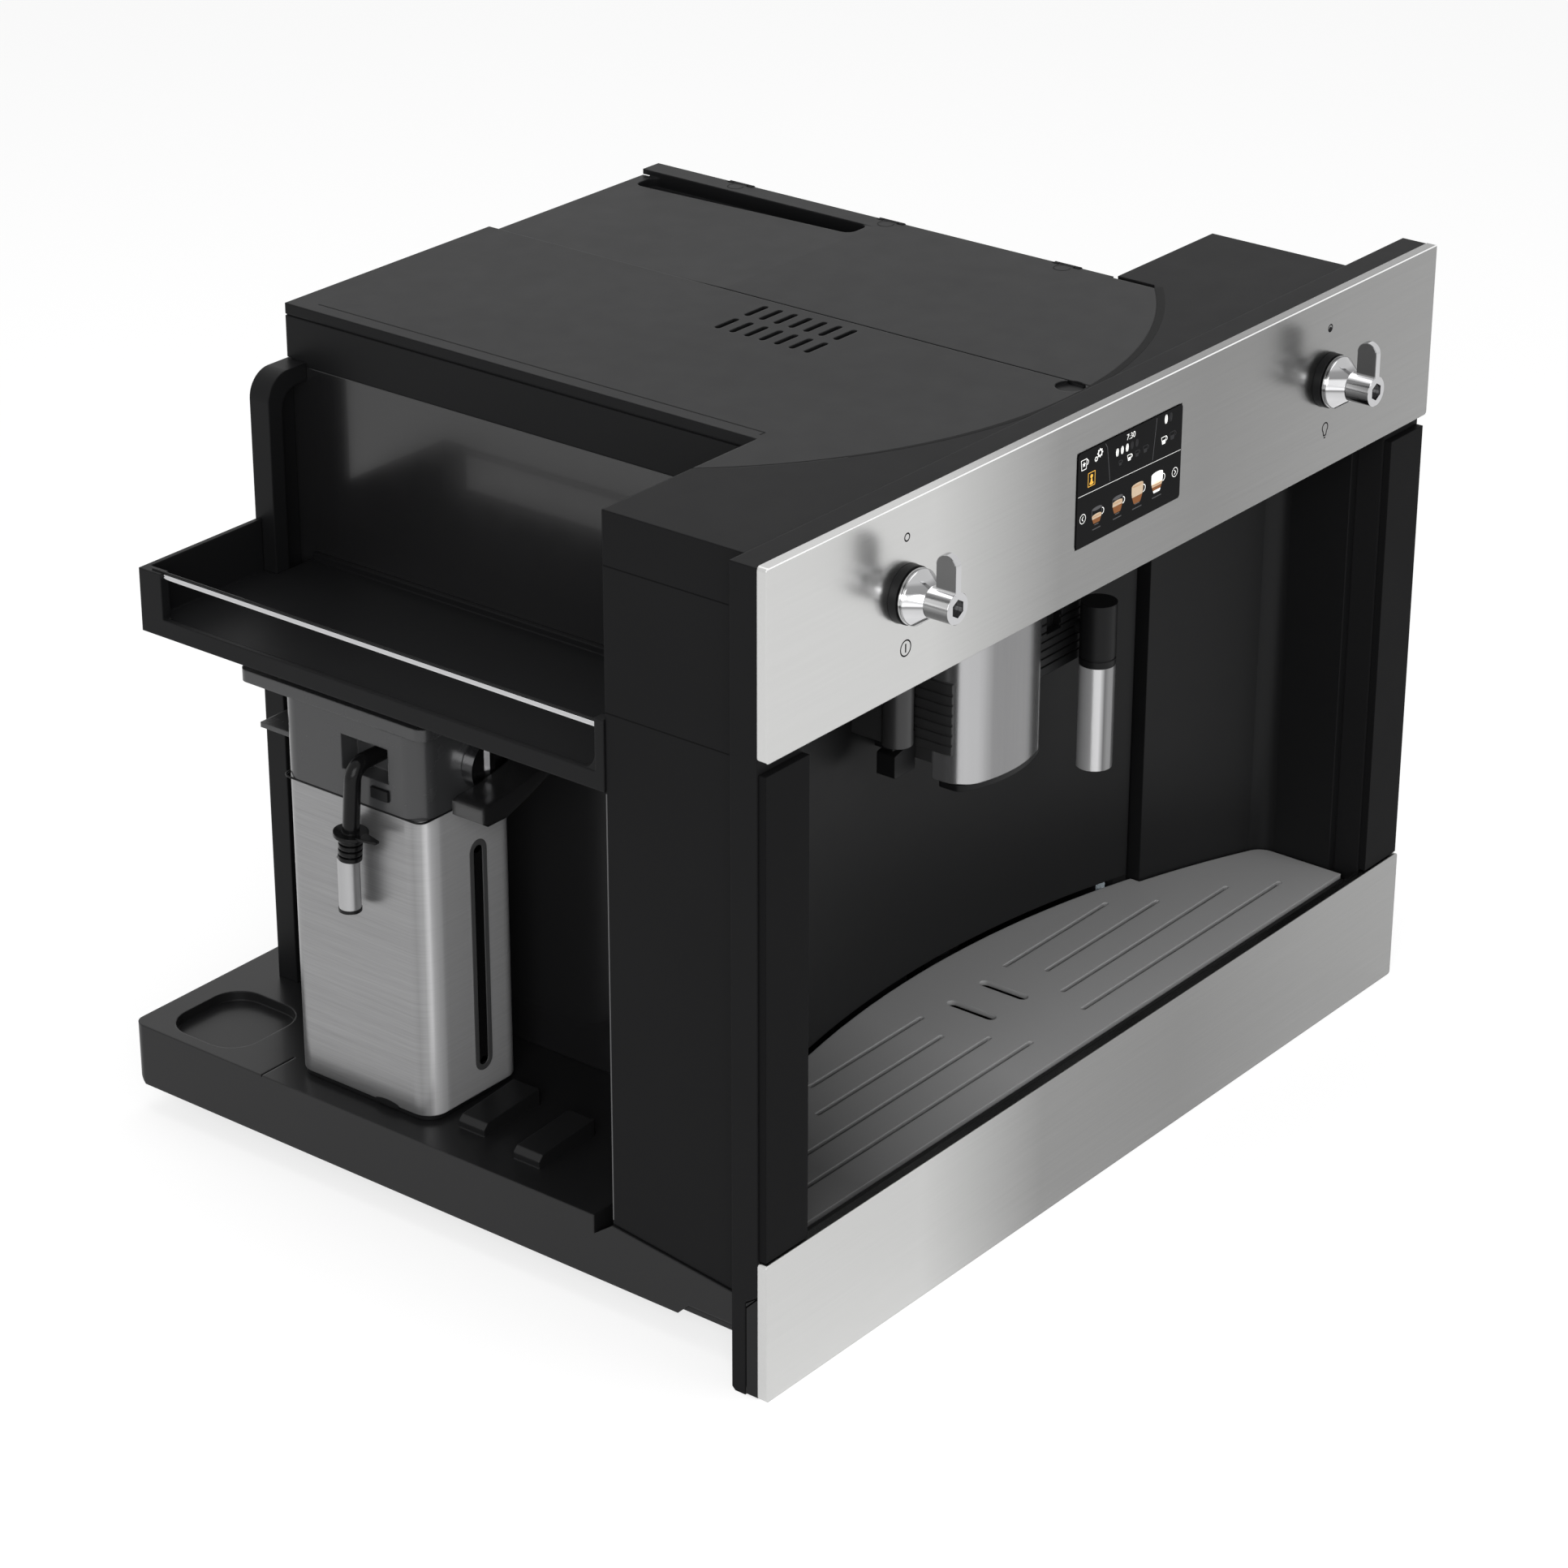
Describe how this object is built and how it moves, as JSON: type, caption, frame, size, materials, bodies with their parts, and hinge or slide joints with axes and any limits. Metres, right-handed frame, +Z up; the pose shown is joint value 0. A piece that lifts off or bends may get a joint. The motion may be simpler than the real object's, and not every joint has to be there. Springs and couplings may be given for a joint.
{
  "type": "built-in coffee machine",
  "caption": "Built-in bean-to-cup coffee machine on pull-out runners: cup niche with height-adjustable spout and hot water nozzle, drip drawer, cup shelf and milk jug bay.",
  "frame": {"origin": "point on the front frame's back (seating) face, midway along the front and level with the cabinet floor that the runners stand on", "axes": "+X to the right seen from the front, +Y from the front into the cabinet, +Z up"},
  "size_m": [0.595, 0.497, 0.455],
  "materials": {
    "brushed_panel": "fine horizontal brushing",
    "jug_steel": "horizontal brushing",
    "spout_steel": "vertical satin",
    "polished_steel": "polished",
    "chrome": "mirror plated",
    "zinc": "zinc plated",
    "painted_steel": "satin black paint",
    "grille_grey": "satin",
    "black_housing": "fine satin grain",
    "black_gloss": "high gloss",
    "black_trim": "satin",
    "grey_lid": "soft satin",
    "display": "gloss screen",
    "board": "solder mask",
    "clear_plastic": "clear moulded",
    "aluminium": "cast",
    "brass": "turned",
    "light_plastic": "moulded",
    "orange_float": "moulded"
  },
  "bodies": {
    "cabinet_runners": {"runner_fixed_left": "zinc", "runner_fixed_right": "zinc"},
    "door": {"service_door": "black_trim", "spout_guide": "black_trim", "nozzle_housing": "black_trim"},
    "spout": {"spout_carriage": "black_trim", "spout_cover": "spout_steel", "coffee_outlets": "polished_steel"},
    "nozzle": {"nozzle_sleeve": "black_trim", "nozzle_tube": "polished_steel"},
    "drawer": {"bottom_panel": "brushed_panel", "drip_tray": "black_trim"},
    "grille": {"drip_grille": "grille_grey"},
    "float": {"float_indicator": "orange_float"},
    "grounds": {"grounds_container": "black_trim"},
    "lid": {"bean_lid": "black_housing"},
    "burr": {"burr_cone": "polished_steel"},
    "screw": {"brew_screw": "polished_steel"},
    "piston": {"brew_piston": "aluminium"},
    "tank": {"water_tank": "clear_plastic"},
    "tank_lid": {"water_tank_lid": "black_trim"},
    "tank_valve": {"water_tank_valve": "light_plastic"},
    "jug": {"jug_shell": "jug_steel", "jug_liner": "black_trim"},
    "jug_top": {"jug_lid": "grey_lid", "jug_handle": "black_gloss"},
    "dial": {"froth_dial": "chrome"},
    "milk": {"milk_spout": "black_gloss", "milk_tip": "polished_steel"},
    "button": {"lid_button": "black_trim"},
    "knob_a": {"knob_left": "chrome"},
    "knob_b": {"knob_right": "chrome"},
    "machine": {"runner_slider_left": "zinc", "runner_slider_right": "zinc", "chassis_base": "painted_steel", "storage_base": "black_housing", "front_frame": "black_housing", "control_panel": "brushed_panel", "display_glass": "display", "control_board": "board", "pillars": "black_gloss", "rotary_switches": "black_trim", "module_shell": "black_housing", "niche_liner": "black_trim", "door_pins": "polished_steel", "top_cover": "black_housing", "right_panel": "black_housing", "storage_wall": "black_gloss", "rear_panel": "black_housing", "body_screws": "zinc", "mains_inlet": "black_trim", "cup_shelf": "black_housing", "shelf_rail": "chrome", "brew_frame": "black_trim", "brew_motor": "zinc", "grinder_motor": "zinc", "burr_ring": "aluminium", "bean_hopper": "clear_plastic", "thermoblock": "aluminium", "pump": "brass"}
  },
  "joints": [
    {"name": "machine_slide", "type": "slide", "parent": "cabinet_runners", "child": "machine", "axis": [0, -1, 0], "range_m": [0, 0.3]},
    {"name": "door_swing", "type": "hinge", "parent": "machine", "child": "door", "pos_m": [-0.248, 0.062, 0.214], "axis": [0, 0, -1], "range_deg": [0, 85]},
    {"name": "spout_height", "type": "slide", "parent": "door", "child": "spout", "axis": [0, 0, -1], "range_m": [0, 0.065]},
    {"name": "nozzle_pull", "type": "slide", "parent": "door", "child": "nozzle", "axis": [0, -1, 0], "range_m": [0, 0.04]},
    {"name": "drawer_slide", "type": "slide", "parent": "machine", "child": "drawer", "axis": [0, -1, 0], "range_m": [0, 0.14]},
    {"name": "grille_lift", "type": "slide", "parent": "drawer", "child": "grille", "axis": [0, 0, 1], "range_m": [0, 0.002]},
    {"name": "float_rise", "type": "slide", "parent": "drawer", "child": "float", "axis": [0, 0, 1], "range_m": [0, 0.008]},
    {"name": "grounds_lift", "type": "slide", "parent": "machine", "child": "grounds", "axis": [0, 0, 1], "range_m": [0, 0.02]},
    {"name": "lid_swing", "type": "hinge", "parent": "machine", "child": "lid", "pos_m": [0.153, 0.25, 0.4455], "axis": [0, 1, 0], "range_deg": [0, 95]},
    {"name": "burr_spin", "type": "hinge", "parent": "machine", "child": "burr", "pos_m": [0.093, 0.185, 0.33], "axis": [0, 0, 1], "continuous": true},
    {"name": "screw_turn", "type": "hinge", "parent": "machine", "child": "screw", "pos_m": [0.111, 0.185, 0.15], "axis": [0, 0, 1], "range_deg": [0, 1810]},
    {"name": "piston_stroke", "type": "slide", "parent": "machine", "child": "piston", "axis": [0, 0, -1], "range_m": [0, 0.045]},
    {"name": "tank_pull", "type": "slide", "parent": "machine", "child": "tank", "axis": [1, 0, 0], "range_m": [0, 0.12]},
    {"name": "tank_lid_lift", "type": "slide", "parent": "tank", "child": "tank_lid", "axis": [0, 0, 1], "range_m": [0, 0.03]},
    {"name": "valve_press", "type": "slide", "parent": "tank", "child": "tank_valve", "axis": [0, 0, 1], "range_m": [0, 0.003], "stiffness_N_per_m": 300, "springref_m": -0.003},
    {"name": "jug_pull", "type": "slide", "parent": "machine", "child": "jug", "axis": [-1, 0, 0], "range_m": [0, 0.12]},
    {"name": "jug_lid_lift", "type": "slide", "parent": "jug", "child": "jug_top", "axis": [0, 0, 1], "range_m": [0, 0.008]},
    {"name": "froth_turn", "type": "hinge", "parent": "jug_top", "child": "dial", "pos_m": [-0.2175, 0.234, 0.2501], "axis": [0, 1, 0], "range_deg": [0, 120]},
    {"name": "milk_swing", "type": "hinge", "parent": "jug_top", "child": "milk", "pos_m": [-0.2515, 0.2715, 0.2571], "axis": [1, 0, 0], "range_deg": [-20, 60]},
    {"name": "button_press", "type": "slide", "parent": "jug_top", "child": "button", "axis": [1, 0, 0], "range_m": [0, 0.002], "stiffness_N_per_m": 400, "springref_m": -0.002},
    {"name": "knob_left_turn", "type": "hinge", "parent": "machine", "child": "knob_a", "pos_m": [-0.189, -0.03, 0.404], "axis": [0, 1, 0], "range_deg": [0, 180]},
    {"name": "knob_right_turn", "type": "hinge", "parent": "machine", "child": "knob_b", "pos_m": [0.189, -0.03, 0.404], "axis": [0, 1, 0], "range_deg": [0, 180]}
  ],
  "couplings": [
    {"joint": "screw_turn", "follows": "piston_stroke", "rad_per_m": 698.13}
  ]
}
